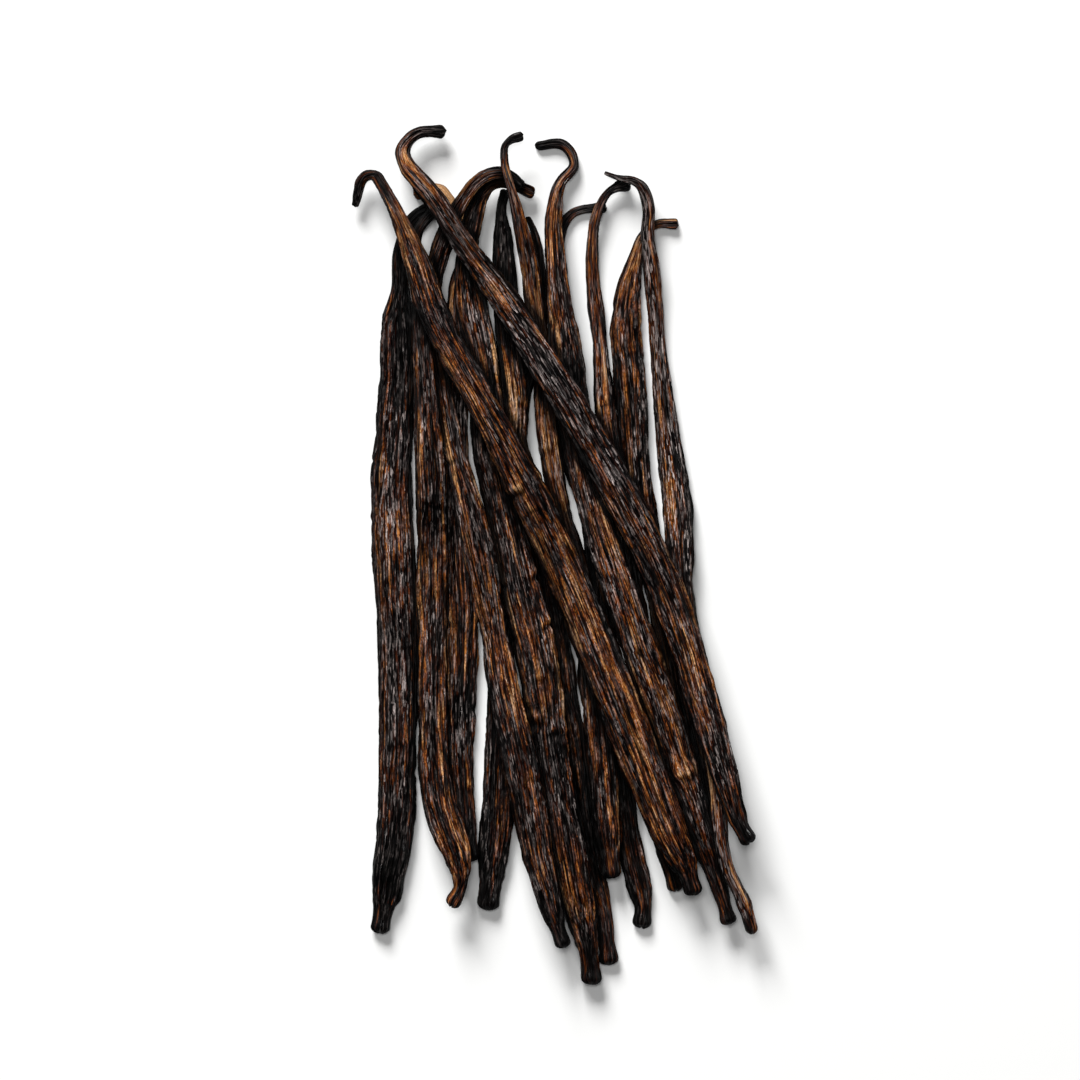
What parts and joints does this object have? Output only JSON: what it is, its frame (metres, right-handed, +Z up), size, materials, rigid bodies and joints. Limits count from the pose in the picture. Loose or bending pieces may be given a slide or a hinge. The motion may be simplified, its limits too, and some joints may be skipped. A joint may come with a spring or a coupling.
{
  "type": "bundle of vanilla pods",
  "caption": "Loose bundle of long, dark, cured vanilla pods lying flat: flattened ridged seed pods with a knobbed blossom end and a thin hooked stem.",
  "frame": {"origin": "on the surface that the bundle lies on, under the middle of its outline", "axes": "+Y along the bundle, from the blossom knobs to the hooked stems; +X across it; +Z up"},
  "size_m": [0.0848, 0.1802, 0.0139],
  "materials": {
    "cured_pod_skin": "dark brown, wrinkled lengthwise, slightly oily"
  },
  "bodies": {
    "root": {"pod_01_buried_left": "cured_pod_skin", "pod_02_buried_right": "cured_pod_skin", "pod_03_cut_stem": "cured_pod_skin", "pod_04_pointed_stem": "cured_pod_skin", "pod_05_tan_hook": "cured_pod_skin", "pod_06_inner_arc": "cured_pod_skin", "pod_07_outer_arc": "cured_pod_skin", "pod_08_crossing_stem": "cured_pod_skin", "pod_09_clubbed_stem": "cured_pod_skin", "pod_10_crook_stem": "cured_pod_skin", "pod_11_outer_right": "cured_pod_skin", "pod_12_outer_left": "cured_pod_skin", "pod_13_bent_knob": "cured_pod_skin", "pod_14_top_left": "cured_pod_skin", "pod_15_top_right": "cured_pod_skin"}
  },
  "joints": []
}
